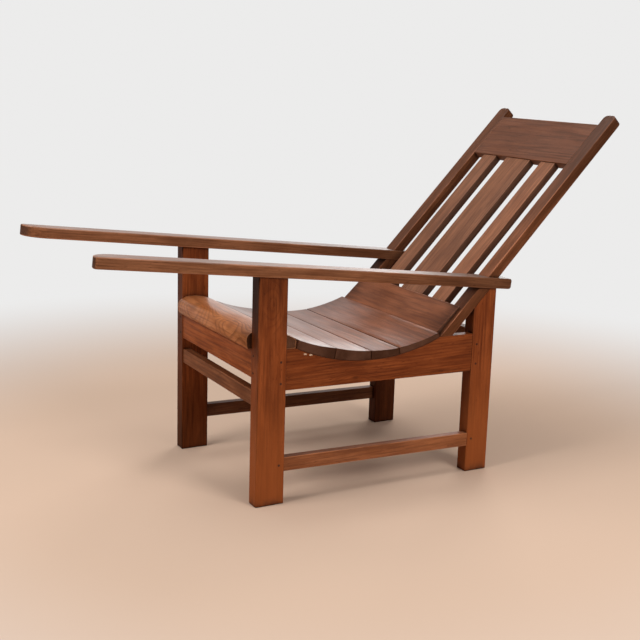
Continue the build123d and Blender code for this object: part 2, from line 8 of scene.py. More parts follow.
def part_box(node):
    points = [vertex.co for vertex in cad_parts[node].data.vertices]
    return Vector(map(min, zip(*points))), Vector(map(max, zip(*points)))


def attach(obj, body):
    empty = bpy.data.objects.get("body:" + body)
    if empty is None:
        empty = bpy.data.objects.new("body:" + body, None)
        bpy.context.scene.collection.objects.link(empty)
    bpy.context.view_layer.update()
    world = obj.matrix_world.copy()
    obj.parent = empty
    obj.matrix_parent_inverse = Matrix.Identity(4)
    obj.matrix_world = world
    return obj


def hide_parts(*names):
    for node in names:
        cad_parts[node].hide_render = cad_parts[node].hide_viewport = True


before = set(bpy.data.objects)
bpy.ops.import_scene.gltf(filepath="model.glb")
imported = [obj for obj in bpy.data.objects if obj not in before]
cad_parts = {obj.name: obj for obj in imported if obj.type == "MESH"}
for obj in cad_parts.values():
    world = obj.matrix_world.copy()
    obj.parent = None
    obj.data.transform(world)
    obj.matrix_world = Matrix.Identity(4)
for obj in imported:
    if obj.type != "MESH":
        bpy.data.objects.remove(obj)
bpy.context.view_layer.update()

# Front posts: broad teak posts that stand from the floor to the arms. Their vertical edges were
# eased with a plane, the soles are chamfered, and the tops are cut to the arms' fall. Oiled teak
# with the grain upright; the side rails, front rail and stretchers are pegged into them.
front_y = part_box("front_post_left")[0][1]
arm_front_height = 0.659
arm_fall = math.radians(5.968)
arm_thickness = 0.0305
post_ease = 0.0024
sole_ease = 0.003
sole_level = 0.001
across = Vector((1, 0, 0))
rearwards = Vector((0, 1, 0))
upwards = Vector((0, 0, 1))


def arm_underside(y):
    """Height of the arms' underside at a place along the chair."""
    top = arm_front_height - (y - front_y) * math.tan(arm_fall)
    return top - arm_thickness / math.cos(arm_fall)


def side_view(x):
    """Places an outline drawn as (y, z), seen from the side, so that its thickness starts at x."""
    return Matrix(((0, 0, 1, x), (1, 0, 0, 0), (0, 1, 0, 0), (0, 0, 0, 1)))


def sawn(outline, place, thickness):
    """A bmesh of a board sawn to an outline, which is drawn flat and then put in its place."""
    board = bmesh.new()
    face = board.faces.new([board.verts.new((*point, 0)) for point in outline])
    grown = bmesh.ops.extrude_face_region(board, geom=[face])["geom"]
    moved = [part for part in grown if isinstance(part, bmesh.types.BMVert)]
    bmesh.ops.translate(board, verts=moved, vec=(0, 0, thickness))
    bmesh.ops.transform(board, matrix=place, verts=board.verts)
    bmesh.ops.recalc_face_normals(board, faces=board.faces)
    return board


def rounded(board, edges, size, steps):
    """Rounds edges over and gives back the new faces."""
    return bmesh.ops.bevel(
        board, geom=list(edges), offset=size, offset_type="OFFSET", segments=steps,
        profile=0.5, affect="EDGES", clamp_overlap=True, material=-1,
    )["faces"]


def ease(board, edges, size, steps=3):
    """Rounds edges over and marks the new faces as worn, for the finish to rub them."""
    worn = board.loops.layers.float_color.get("worn")
    if worn is None:
        worn = board.loops.layers.float_color.new("worn")
        for face in board.faces:
            for corner in face.loops:
                corner[worn] = (0, 0, 0, 1)
    for face in rounded(board, edges, size, steps):
        face.smooth = True
        for corner in face.loops:
            corner[worn] = (1, 1, 1, 1)


def arrises(board, least=0.6):
    """The edges where a board's faces meet at a real angle."""
    return [edge for edge in board.edges if edge.is_manifold and edge.calc_face_angle() > least]


def runs_along(edge, way):
    """Whether an edge runs along a way."""
    run = (edge.verts[1].co - edge.verts[0].co).normalized()
    return abs(run.dot(way)) > 0.99


def ease_post(board):
    """Chamfers a post's sole and rounds its upright edges."""
    soles = [edge for edge in arrises(board) if all(vert.co.z < sole_level for vert in edge.verts)]
    ease(board, soles, sole_ease, 2)
    ease(board, [edge for edge in arrises(board) if runs_along(edge, upwards)], post_ease)


def piece(name, board, finish, node):
    """Hands a finished bmesh over as a piece of the chair that stands for its CAD node. Tenons and
    mortises are left to the CAD node."""
    mesh = bpy.data.meshes.new(name)
    board.to_mesh(mesh)
    board.free()
    mesh.materials.append(finish)
    made = bpy.data.objects.new(name, mesh)
    bpy.context.collection.objects.link(made)
    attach(made, "root")
    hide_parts(node)


def add(tree, kind, inputs=(), **settings):
    """A shader node with its settings made and its inputs set or linked."""
    made = tree.nodes.new(kind)
    for setting, value in settings.items():
        setattr(made, setting, value)
    for socket, value in dict(inputs).items():
        if isinstance(value, bpy.types.NodeSocket):
            tree.links.new(value, made.inputs[socket])
        else:
            made.inputs[socket].default_value = value
    return made


def sums(tree, operation, first, second=0.0, third=0.0):
    """The result of a Math node."""
    inputs = {0: first, 1: second, 2: third}
    return add(tree, "ShaderNodeMath", inputs, operation=operation).outputs[0]


def between(tree, value, low, high, floor=0.0, top=1.0):
    """A value spread smoothly from the range low to high onto the range floor to top."""
    spread = add(
        tree, "ShaderNodeMapRange", {0: value, 1: low, 2: high, 3: floor, 4: top},
        interpolation_type="SMOOTHSTEP",
    )
    return spread.outputs[0]


def blend(tree, share, first, second):
    """Two colours mixed by a share."""
    inputs = {0: share, 6: first, 7: second}
    return add(tree, "ShaderNodeMix", inputs, data_type="RGBA").outputs[2]


def stretched(tree, place, stretch):
    """A place with each of its parts multiplied."""
    inputs = {0: place, 1: stretch}
    return add(tree, "ShaderNodeVectorMath", inputs, operation="MULTIPLY").outputs[0]


def figure(tree, place, stretch, seed, detail=3.0):
    """Noise drawn out along the grain: stretch is its scale along, across and through the board."""
    drawn = stretched(tree, place, stretch)
    return add(
        tree, "ShaderNodeTexNoise",
        {"Vector": drawn, "W": seed, "Scale": 1.0, "Detail": detail, "Roughness": 0.55},
        noise_dimensions="4D",
    )


def length_of(tree, vector):
    """The length of a vector."""
    return add(tree, "ShaderNodeVectorMath", {0: vector}, operation="LENGTH").outputs["Value"]


def taken_from(tree, place, spot):
    """A place measured from a spot."""
    inputs = {0: place, 1: spot}
    return add(tree, "ShaderNodeVectorMath", inputs, operation="SUBTRACT").outputs[0]


def spot_distance(tree, place, spot, depth):
    """How far a place is from a spot given as (along, across, size), in sizes of the spot, which
    is drawn out along the grain, and through the board by depth."""
    far, side, size = spot
    away = taken_from(tree, place, (far, side, 0.0))
    return length_of(tree, stretched(tree, away, (0.45 / size, 1 / size, depth / size)))


def turned_to(tree, normal, way):
    """How far a surface faces a way: 1 when it faces it, 0 at its side."""
    inputs = {0: normal, 1: Vector(way)}
    return add(tree, "ShaderNodeVectorMath", inputs, operation="DOT_PRODUCT").outputs["Value"]


knot_brown = (0.02, 0.008, 0.004, 1.0)
end_grain_pale = (0.085, 0.038, 0.023, 1.0)
end_grain_dark = (0.042, 0.017, 0.009, 1.0)
edge_grime = (0.03, 0.01, 0.004, 1.0)
# Painted shade, laid in corners and on faces turned from the light
shade_brown = (0.014, 0.006, 0.004, 1.0)
# Darkening along a board; on the posts and stiles it is painted shade
fade_brown = (0.02, 0.006, 0.002, 1.0)
floor_scuff = (0.05, 0.026, 0.018, 1.0)
# A grey laid over a board, part dusty film and part painted sheen
dust_and_sheen_grey = (0.42, 0.33, 0.29, 1.0)
split_wood = (0.62, 0.44, 0.3, 1.0)


def teak(
    name, run, width, centre, tones, seed, heart=(0.05, 0.09), ring=0.0065, slope=0.02,
    contrast=0.3, gloss=0.44, polish=0.1, knots=(), dust_and_sheen=0.0, foot=False, wear=0.6, painted_shade_faces=(),
    fades=(), chips=(), painted_corner_shade=0.8,
):
    """Oiled old teak. run and width are the ways along and across the board, centre is its middle
    and tones are its pale, middle and dark colours. heart is where the tree's heart lay from the
    centre, ring how wide the growth rings are, slope how they lean and contrast how dark they show.
    gloss is the roughness and polish how strongly the oil shines. knots and chips are given as
    (along, across, size) from the centre, and the next sets how much grey lies over the board,
    part dusty film and part painted sheen. foot is whether the board stands on the floor and goes
    paler towards it. wear is how pale the edges are rubbed, or below nought how dark with grime.
    The painted shade faces are the ways of faces darkened with painted shade and how much, a fade
    is the stretch of the board over which it darkens, how much and on faces of which way, and the
    corner shade is how much painted shade darkens the corners."""
    finish = bpy.data.materials.new(name)
    finish.use_nodes = True
    tree = finish.node_tree
    tree.nodes.clear()
    run = Vector(run).normalized()
    width = Vector(width).normalized()
    axes = Matrix((run, width, run.cross(width))).transposed()
    object_place = add(tree, "ShaderNodeTexCoord")
    place = add(
        tree, "ShaderNodeMapping",
        {"Vector": object_place.outputs["Object"], "Location": centre, "Rotation": axes.to_euler()},
        vector_type="TEXTURE",
    ).outputs[0]

    # The growth rings sway along the board, bend round its knots and widen from the heart
    sway = figure(tree, place, (1.2, 6.0, 6.0), seed, detail=2.0).outputs["Color"]
    swung = add(
        tree, "ShaderNodeVectorMath",
        {0: taken_from(tree, sway, (0.5, 0.5, 0.5)), 1: (0.0, 0.024, 0.024), 2: place},
        operation="MULTIPLY_ADD",
    ).outputs[0]
    from_heart = taken_from(tree, swung, (0.0, *heart))
    radius = length_of(tree, stretched(tree, from_heart, (0, 1, 1)))
    apart = add(tree, "ShaderNodeSeparateXYZ", {0: place})
    along = sums(tree, "MULTIPLY_ADD", apart.outputs[0], slope, radius)
    knot_mark = None
    for knot in knots:
        near = spot_distance(tree, place, knot, 0.15)
        pull = between(tree, near, 3.6, 0.0, 0.0, knot[2] * 1.9)
        along = sums(tree, "ADD", along, pull)
        mark = between(tree, near, 0.6, 0.15)
        knot_mark = mark if knot_mark is None else sums(tree, "MAXIMUM", knot_mark, mark)
    turns = sums(tree, "DIVIDE", along, ring)
    ring_share = sums(tree, "FRACT", turns)
    late_wood = add(
        tree, "ShaderNodeMapRange", {0: ring_share, 1: 0.35, 2: 0.93, 3: 0.0, 4: 1.0},
        interpolation_type="SMOOTHERSTEP",
    ).outputs[0]
    early_end = between(tree, ring_share, 0.93, 1.0, 1.0, 0.0)
    late_wood = sums(tree, "MULTIPLY", late_wood, early_end)

    # Fine and broad streaks, soft patches, pores and flecks
    streaks = figure(tree, swung, (7.0, 210.0, 210.0), seed + 3.1, detail=4.0).outputs["Fac"]
    bands = figure(tree, swung, (8.0, 46.0, 46.0), seed + 5.7, detail=4.0).outputs["Fac"]
    patches = figure(tree, place, (5.0, 14.0, 14.0), seed + 9.4, detail=4.0).outputs["Fac"]
    pores = figure(tree, swung, (60.0, 1300.0, 1300.0), seed + 1.7, detail=1.0).outputs["Fac"]
    pale, middle, dark = [(*tone, 1.0) for tone in tones]
    ring_strength = sums(tree, "MULTIPLY", late_wood, between(tree, patches, 0.3, 0.65, 0.4, 1.0))
    ring_strength = sums(tree, "MULTIPLY", ring_strength, contrast)
    colour = blend(tree, between(tree, bands, 0.36, 0.64), middle, pale)
    colour = blend(tree, between(tree, streaks, 0.42, 0.68, 0.0, 0.52), colour, dark)
    colour = blend(tree, between(tree, patches, 0.5, 0.78, 0.0, 0.28), colour, dark)
    flecks = figure(tree, place, (45.0, 190.0, 190.0), seed + 15.2, detail=2.0).outputs["Fac"]
    colour = blend(tree, between(tree, flecks, 0.63, 0.72, 0.0, 0.5), colour, dark)
    colour = blend(tree, ring_strength, colour, dark)
    colour = blend(tree, between(tree, pores, 0.58, 0.74, 0.0, 0.5), colour, dark)
    if knot_mark is not None:
        colour = blend(tree, sums(tree, "MULTIPLY", knot_mark, 0.42), colour, knot_brown)

    # End grain drinks more oil and goes dark. Rubbed edges go pale where wear is above nought, and
    # hold grime where it is below, but not all along.
    normal = object_place.outputs["Normal"]
    end_grain = between(tree, sums(tree, "ABSOLUTE", turned_to(tree, normal, run)), 0.55, 0.85)
    end_tone = blend(tree, between(tree, patches, 0.38, 0.62), end_grain_pale, end_grain_dark)
    colour = blend(tree, sums(tree, "MULTIPLY", end_grain, 0.92), colour, end_tone)
    worn = add(tree, "ShaderNodeAttribute", attribute_name="worn").outputs["Fac"]
    rub = figure(tree, place, (9.0, 25.0, 25.0), seed + 12.3, detail=4.0).outputs["Fac"]
    rubbed = sums(tree, "MULTIPLY", worn, between(tree, rub, 0.42, 0.66, 0.1, abs(wear)))
    bare = tuple(1.5 * part + 0.02 for part in pale[:3]) + (1.0,)
    colour = blend(tree, rubbed, colour, bare if wear > 0 else edge_grime)
    # Faces turned a given way are darkened with painted shade
    for faces, share in painted_shade_faces:
        face_shade = between(tree, turned_to(tree, normal, faces), 0.6, 0.9, 0.0, share)
        colour = blend(tree, face_shade, colour, shade_brown)
    # Fades darken a stretch of a board; on the posts and stiles they are painted shade, such as the
    # arm's shadow at a post's top
    for start, end, share, faces in fades:
        faded = between(tree, apart.outputs[0], start, end, 0.0, share)
        if faces:
            turned = between(tree, turned_to(tree, normal, faces), 0.6, 0.9)
            faded = sums(tree, "MULTIPLY", faded, turned)
        colour = blend(tree, faded, colour, fade_brown)
    # Boards that stand on the floor go paler towards it, with scuffs at the very bottom
    if foot:
        height = add(tree, "ShaderNodeSeparateXYZ", {0: object_place.outputs["Object"]}).outputs[2]
        paler_foot = (1.6 * middle[0], 1.95 * middle[1], 2.2 * middle[2], 1.0)
        colour = blend(tree, between(tree, height, 0.42, 0.05, 0.0, 0.7), colour, paler_foot)
        low_down = between(tree, height, 0.03, 0.0)
        scuff = sums(tree, "MULTIPLY", low_down, between(tree, rub, 0.4, 0.6))
        colour = blend(tree, sums(tree, "MULTIPLY", scuff, 0.6), colour, floor_scuff)
    # A grey over the board, part dusty film and part painted sheen
    if dust_and_sheen:
        dusty_sheen = between(tree, patches, 0.3, 0.65, dust_and_sheen * 0.5, dust_and_sheen)
        colour = blend(tree, dusty_sheen, colour, dust_and_sheen_grey)
    # Painted shade: an occlusion node darkens the corners and the gaps between parts
    corners = add(tree, "ShaderNodeAmbientOcclusion", {"Distance": 0.02}, samples=6).outputs["AO"]
    corner_shade = between(tree, corners, 0.82, 0.4, 0.0, painted_corner_shade)
    colour = blend(tree, corner_shade, colour, shade_brown)
    for chip in chips:
        splinters = figure(tree, place, (400.0, 400.0, 400.0), seed).outputs["Fac"]
        torn = sums(tree, "MULTIPLY_ADD", splinters, 1.4, spot_distance(tree, place, chip, 0.1))
        colour = blend(tree, between(tree, torn, 1.5, 1.2), colour, split_wood)

    # Use has polished what faces up. The surface keeps plane marks and open pores.
    facing_up = add(tree, "ShaderNodeSeparateXYZ", {0: normal}).outputs[2]
    polish_share = between(tree, facing_up, 0.15, 0.8, 0.04, polish)
    shine = sums(tree, "MULTIPLY_ADD", between(tree, patches, 0.3, 0.7), 0.1, gloss - 0.03)
    shine = sums(tree, "MULTIPLY_ADD", end_grain, 0.2, shine)
    waves = figure(tree, place, (5.0, 22.0, 22.0), seed + 7.7, detail=2.0).outputs["Fac"]
    soft = add(tree, "ShaderNodeBump", {"Strength": 0.16, "Distance": 0.003, "Height": waves})
    relief = sums(tree, "MULTIPLY_ADD", late_wood, -0.5, sums(tree, "MULTIPLY", streaks, 1.2))
    relief = sums(tree, "MULTIPLY_ADD", pores, -0.5, relief)
    crisp = add(
        tree, "ShaderNodeBump",
        {"Strength": 0.3, "Distance": 0.0006, "Height": relief, "Normal": soft.outputs[0]},
    )
    shader = add(
        tree, "ShaderNodeBsdfPrincipled",
        {
            "Base Color": colour, "Roughness": shine, "IOR": 1.46,
            "Specular IOR Level": polish_share, "Normal": crisp.outputs[0],
        },
    )
    add(tree, "ShaderNodeOutputMaterial", {"Surface": shader.outputs[0]})
    return finish


def middle_of(board):
    """The middle of a bmesh's box."""
    corners = [vert.co for vert in board.verts]
    low = Vector([min(corner[axis] for corner in corners) for axis in range(3)])
    high = Vector([max(corner[axis] for corner in corners) for axis in range(3)])
    return (low + high) / 2


def tones_times(tones, share):
    """The same tones made that many times as bright. Below one on the chair's right side it is
    painted shade, above one on the left back slat a painted sheen, and on the side rails a darker
    board.
    """
    return [tuple(part * share for part in tone) for tone in tones]


frame_tones = ((0.285, 0.0705, 0.0186), (0.196, 0.0442, 0.0108), (0.0634, 0.0145, 0.0055))
post_wear = -0.8
knot_height, knot_from_front, knot_size = 0.553, 0.044, 0.011
# The left post's fades paint the arm's shadow down from its top, deepest on its front face; the
# right post's front and foot are darkened with painted shade
front_post_looks = {
    "left": {"foot": True, "fades": [(0.1, 0.33, 0.4, None), (0.0, 0.25, 0.8, -rearwards)]},
    "right": {"fades": [(0.0, -0.25, 0.5, None)], "painted_shade_faces": [(-rearwards, 0.45)]},
}
# The right post's darker tones are painted shade on the chair's far side
for side, share, seed in (("left", 1.0, 1.3), ("right", 0.95, 4.9)):
    low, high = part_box(f"front_post_{side}")
    outline = [
        (low[1], 0),
        (high[1], 0),
        (high[1], arm_underside(high[1])),
        (low[1], arm_underside(low[1])),
    ]
    board = sawn(outline, side_view(low[0]), high[0] - low[0])
    middle = middle_of(board)
    ease_post(board)
    knot = (knot_height - middle.z, front_y + knot_from_front - middle.y, knot_size)
    finish = teak(
        f"teak_front_post_{side}", upwards, rearwards, middle, tones_times(frame_tones, share), seed,
        heart=(0.02, 0.07), knots=[knot] if side == "left" else [], wear=post_wear,
        **front_post_looks[side],
    )
    piece(f"front_post_{side}_wood", board, finish, f"front_post_{side}")

# Rear posts: as the front posts, but shorter. The top is cut away to the stile's sloping rear
# face and carries the arm behind it. Oiled teak, grain upright, pegged to rail and stretcher.
back_lean = math.radians(46.5)
stile_foot_y = front_y + 0.5744
stile_thickness = 0.031
rail_rear_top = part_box("rear_rail")[1][2]


def on_back(along, behind):
    """Side view point on the back: up along it from its foot, and behind its front plane."""
    y = stile_foot_y + along * math.cos(back_lean) + behind * math.sin(back_lean)
    z = rail_rear_top + along * math.sin(back_lean) - behind * math.cos(back_lean)
    return (y, z)


stile_foot_back_y = stile_foot_y + stile_thickness / math.sin(back_lean)
# The right rear post's darker tones are painted shade on the chair's far side
for side, inwards, share, seed in (("left", -across, 1.0, 7.2), ("right", across, 0.6, 9.8)):
    low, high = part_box(f"rear_post_{side}")
    shoulder_low = rail_rear_top + (low[1] - stile_foot_back_y) * math.tan(back_lean)
    shoulder_y = low[1] + (arm_underside(low[1]) - shoulder_low) / (
        math.tan(back_lean) + math.tan(arm_fall)
    )
    outline = [
        (low[1], 0),
        (high[1], 0),
        (high[1], arm_underside(high[1])),
        (shoulder_y, arm_underside(shoulder_y)),
        (low[1], shoulder_low),
    ]
    board = sawn(outline, side_view(low[0]), high[0] - low[0])
    middle = middle_of(board)
    ease_post(board)
    # Its front and inner faces are darkened with painted shade
    finish = teak(
        f"teak_rear_post_{side}", upwards, rearwards, middle, tones_times(frame_tones, share), seed,
        heart=(-0.06, 0.05), foot=side == "left", wear=post_wear,
        painted_shade_faces=[(-rearwards, 0.4), (inwards, 0.5)],
    )
    piece(f"rear_post_{side}_wood", board, finish, f"rear_post_{side}")

# Side rails: deep boards on edge between the posts, their lower edge falling a little to the rear,
# with the seat's hollow sawn into the top in one sweep. Oiled teak, grain along the chair, tenoned
# and pegged into both posts. The left one has a knot, and two splinters gone from its top.
rail_front_bottom = 0.316
rail_rear_bottom = 0.308
rail_front_top = 0.429
rail_thickness = 0.026
rail_ease = 0.0016
roll_back_y = front_y + 0.114
hollow_low_y = front_y + 0.344
hollow_low_z = 0.375


def circle_through(first, second, third):
    """Centre and radius of the circle through three side view points."""
    b, c = Vector(second) - Vector(first), Vector(third) - Vector(first)
    twice = 2 * (b.x * c.y - b.y * c.x)
    centre = Vector((c.y * b.length_squared - b.y * c.length_squared,
                     b.x * c.length_squared - c.x * b.length_squared)) / twice
    return Vector(first) + centre, centre.length


hollow_centre, hollow_radius = circle_through(
    (roll_back_y, rail_front_top), (hollow_low_y, hollow_low_z), (stile_foot_y, rail_rear_top)
)


def hollow_point(y):
    """Side view point on the rails' hollow."""
    return (y, hollow_centre.y - math.sqrt(hollow_radius**2 - (y - hollow_centre.x) ** 2))


hollow_steps = 28
side_rail_share = 0.86
side_rail_knot = (0.299, 0.329, 0.012)
side_rail_chips = ((0.142, 0.4105, 0.0035), (0.158, 0.4065, 0.0035))
for side, seed in (("left", 12.6), ("right", 15.1)):
    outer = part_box(f"side_rail_{side}")
    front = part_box(f"front_post_{side}")[1][1]
    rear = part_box(f"rear_post_{side}")[0][1]
    outline = [(rear, rail_rear_top), (rear, rail_rear_bottom)]
    outline += [(front, rail_front_bottom), (front, rail_front_top)]
    for step in range(hollow_steps + 1):
        y = roll_back_y + (stile_foot_y - roll_back_y) * step / hollow_steps
        outline.append(hollow_point(y))
    board = sawn(outline, side_view(outer[0][0]), rail_thickness)
    middle = middle_of(board)
    ease(board, arrises(board), rail_ease, 2)
    knot, *chips = [
        (front_y + from_front - middle.y, height - middle.z, size)
        for from_front, height, size in (side_rail_knot, *side_rail_chips)
    ]
    finish = teak(
        f"teak_side_rail_{side}", rearwards, upwards, middle, tones_times(frame_tones, side_rail_share),
        seed, heart=(0.1, 0.03), ring=0.008, wear=-0.7,
        knots=[knot] if side == "left" else [], chips=chips if side == "left" else [],
    )
    piece(f"side_rail_{side}_wood", board, finish, f"side_rail_{side}")

# Side stretchers: slim rails near the floor that drop a little to the rear. Old teak, paler and
# drier than the frame above because feet and brooms have rubbed the oil away, pegged at both ends.
stretcher_depth = 0.039
stretcher_front_top = 0.130
stretcher_rear_top = 0.120
stretcher_thickness = 0.025
stretcher_tones = ((0.38, 0.133, 0.0506), (0.253, 0.0798, 0.0268), (0.095, 0.0266, 0.0104))
# The right stretcher's darker tones are painted shade under the chair
for side, share, seed in (("left", 1.0, 18.4), ("right", 0.42, 21.7)):
    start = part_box(f"side_stretcher_{side}")[0][0]
    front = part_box(f"front_post_{side}")[1][1]
    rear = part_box(f"rear_post_{side}")[0][1]
    outline = [
        (front, stretcher_front_top - stretcher_depth),
        (rear, stretcher_rear_top - stretcher_depth),
        (rear, stretcher_rear_top),
        (front, stretcher_front_top),
    ]
    board = sawn(outline, side_view(start), stretcher_thickness)
    middle = middle_of(board)
    ease(board, arrises(board), rail_ease)
    # The grey over both stretchers is part dusty film and part painted sheen
    finish = teak(
        f"teak_side_stretcher_{side}", rearwards, upwards, middle, tones_times(stretcher_tones, share),
        seed, heart=(0.03, 0.06), dust_and_sheen=0.03,
    )
    piece(f"side_stretcher_{side}_wood", board, finish, f"side_stretcher_{side}")

# Front rail, front stretcher and rear rail: boards on edge from post to post. Oiled teak, grain
# across the chair. The front rail is pegged and carries the roll, the others are only tenoned.
front_rail_height = 0.078
rear_rail_height = 0.080
front_rail_set_back, front_rail_thickness = 0.002, 0.028
front_stretcher_set_back, front_stretcher_thickness = 0.003, 0.024
front_stretcher_bottom, front_stretcher_top = 0.275, 0.317
rail_y = front_y + front_rail_set_back
stretcher_y = front_y + front_stretcher_set_back
rear_rail_front, rear_rail_back = (corner[1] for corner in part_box("rear_rail"))
cross_boards = {
    "front_rail": (
        rail_y, rail_y + front_rail_thickness, rail_front_top - front_rail_height, rail_front_top,
    ),
    "front_stretcher": (
        stretcher_y, stretcher_y + front_stretcher_thickness,
        front_stretcher_bottom, front_stretcher_top,
    ),
    "rear_rail": (rear_rail_front, rear_rail_back, rail_rear_top - rear_rail_height, rail_rear_top),
}
cross_tones = {
    "front_rail": ((0.33, 0.087, 0.022), (0.235, 0.054, 0.012), (0.082, 0.018, 0.006)),
    "front_stretcher": ((0.24, 0.085, 0.035), (0.16, 0.052, 0.02), (0.062, 0.02, 0.0085)),
    "rear_rail": ((0.253, 0.094, 0.0381), (0.177, 0.0604, 0.0229), (0.0634, 0.0215, 0.0091)),
}
for seed, (name, (front, rear, bottom, top)) in enumerate(cross_boards.items(), 24):
    post = "rear_post_left" if name == "rear_rail" else "front_post_left"
    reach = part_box(post)[0][0]
    outline = [(front, bottom), (rear, bottom), (rear, top), (front, top)]
    board = sawn(outline, side_view(-reach), 2 * reach)
    middle = middle_of(board)
    ease(board, arrises(board), rail_ease)
    finish = teak(
        f"teak_{name}", across, upwards, middle, cross_tones[name], seed + 0.4, heart=(0.04, 0.08)
    )
    piece(f"{name}_wood", board, finish, name)

# Arms: long boards that fall a little to the rear and reach far out in front as leg rests, swept
# round at the inner front corner and nosed at the tail. Each sits on the front post's stub tenon
# and is notched round the stile. Teak, rubbed pale and glossy on top by hands and legs.
arm_reaches = {"left": 0.435, "right": 0.466}
arm_tail = 0.050
arm_sweep_across = 0.052
arm_sweep_along = 0.068
arm_sweep_steps = 16
arm_corner = 0.009
arm_tail_corner = 0.014
arm_round = 0.0034
arm_corner_steps = 6
arm_nose = 0.014
arm_nose_steps = 6
arm_nose_roundness = 0.9
arm_tones = ((0.285, 0.112, 0.0514), (0.194, 0.0713, 0.0308), (0.0798, 0.0274, 0.0116))
arm_way = Vector((0, math.cos(arm_fall), -math.sin(arm_fall)))
arm_up = Vector((0, math.sin(arm_fall), math.cos(arm_fall)))
arm_rear = (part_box("rear_post_left")[1][1] - front_y + arm_tail) / math.cos(arm_fall)


def arm_place():
    """Places an outline drawn as (x, along the arm) on the arms' underside."""
    place = Matrix((across, arm_way, arm_up)).transposed().to_4x4()
    place.translation = Vector((0, front_y, arm_front_height)) - arm_thickness * arm_up
    return place


for side, sign, seed in (("left", 1, 30.2), ("right", -1, 33.9)):
    low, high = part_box(f"arm_{side}")
    inner, outer = (low[0], high[0]) if sign > 0 else (high[0], low[0])
    reach = arm_reaches[side]
    # Drawn without its notch: the stile passes through the board and leaves a thin strip inside
    outline = [(outer, -reach), (outer, arm_rear), (inner, arm_rear)]
    for step in range(arm_sweep_steps + 1):
        turn = math.pi / 2 * step / arm_sweep_steps
        outline.append((
            inner + sign * arm_sweep_across * (1 - math.cos(turn)),
            arm_sweep_along * (1 - math.sin(turn)) - reach,
        ))
    board = sawn(outline, arm_place(), arm_thickness)
    middle = middle_of(board)
    for corner_x, at_front, size in (
        (outer, True, arm_corner), (inner, False, arm_tail_corner), (outer, False, arm_tail_corner)
    ):
        corner = [
            edge for edge in board.edges
            if runs_along(edge, arm_up)
            and math.isclose(edge.verts[0].co.x, corner_x, abs_tol=0.001)
            and (edge.verts[0].co.y < front_y) == at_front
        ]
        rounded(board, corner, size, arm_corner_steps)
    for face in board.faces:
        face.smooth = abs(face.normal.dot(arm_up)) < 0.5
    ease(board, arrises(board, 0.9), arm_round, 4)
    start = arm_place().translation
    for step in range(arm_nose_steps):
        cut = arm_rear - arm_nose * (1 - step / arm_nose_steps)
        bmesh.ops.bisect_plane(
            board, geom=[*board.verts, *board.edges, *board.faces],
            plane_co=start + cut * arm_way, plane_no=arm_way,
        )
    for vert in board.verts:
        share = 1 + ((vert.co - start).dot(arm_way) - arm_rear) / arm_nose
        if share > 0:
            level = (vert.co - start).dot(arm_up) - arm_thickness / 2
            thinned = 1 - math.sqrt(1 - arm_nose_roundness * min(1, share) ** 2)
            vert.co -= level * thinned * arm_up
    for face in board.faces:
        if (face.calc_center_median() - start).dot(arm_way) > arm_rear - arm_nose:
            face.smooth = True
    finish = teak(
        f"teak_arm_{side}", arm_way, across, middle, arm_tones, seed, heart=(0.03, 0.12),
        ring=0.007, slope=0.03, gloss=0.36, polish=0.75, fades=[(0.0, 0.56, 0.5, None)],
    )
    piece(f"arm_{side}_wood", board, finish, f"arm_{side}")

# Back stiles: long raked posts that stand on the side rails' tops and run past the arms to the
# crest. The top is domed across its width and the foot cut level. Teak, grain along the rake.
back_way = Vector((0, math.cos(back_lean), math.sin(back_lean)))
back_out = Vector((0, -math.sin(back_lean), math.cos(back_lean)))
stile_length = 0.857
stile_top_radius = 0.015
stile_top_level = 0.9
# The fades paint shade on the stiles' upper ends and lower parts
stile_fades = {
    "left": [(-0.3, 0.4, 0.7, None), (0.0, -0.3, 0.35, across)],
    "right": [(0.0, 0.4, 0.25, None), (0.2, -0.4, 0.3, None)],
}
back_tones = ((0.25, 0.087, 0.037), (0.175, 0.0575, 0.0215), (0.07, 0.022, 0.0085))
# The right stile's darker tones are painted shade on the chair's far side
for side, share, seed in (("left", 1.22, 36.5), ("right", 0.78, 40.3)):
    low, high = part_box(f"back_stile_{side}")
    outline = [
        on_back(0, 0),
        (stile_foot_back_y, rail_rear_top),
        on_back(stile_length, stile_thickness),
        on_back(stile_length, 0),
    ]
    board = sawn(outline, side_view(low[0]), high[0] - low[0])
    middle = middle_of(board)
    tops = [
        edge for edge in board.edges
        if runs_along(edge, back_out) and edge.verts[0].co.z > stile_top_level
    ]
    for face in rounded(board, tops, stile_top_radius, 8):
        face.smooth = True
    ease(board, arrises(board, 0.9), post_ease)
    # The stiles' side faces are darkened with painted shade, and their pale rubbed arrises are part
    # wear and part painted glint
    finish = teak(
        f"teak_stile_{side}", back_way, across, middle, tones_times(back_tones, share), seed,
        heart=(0.05, 0.06), polish=0.4, wear=1.0, painted_shade_faces=[(across, 0.18), (-across, 0.18)],
        fades=stile_fades[side],
    )
    piece(f"back_stile_{side}_wood", board, finish, f"back_stile_{side}")

# Crest, lower back rail and back slats: boards set between the stiles. The crest is broad and
# flush with the stiles, the slats lie 3 mm back and are tenoned into both rails. Oiled teak.
back_rail_thickness = 0.026
slat_thickness = 0.0225
slat_recess = 0.003
crest_place = 0.658
crest_height = 0.160
lower_rail_place = 0.022
lower_rail_height = 0.055
wide_slat = 0.116
narrow_slat = 0.065


def back_place(behind):
    """Places an outline drawn as (x, up along the back), with its rear face that far behind."""
    place = Matrix((across, back_way, back_out)).transposed().to_4x4()
    place.translation = Vector((0, stile_foot_y, rail_rear_top)) - behind * back_out
    return place


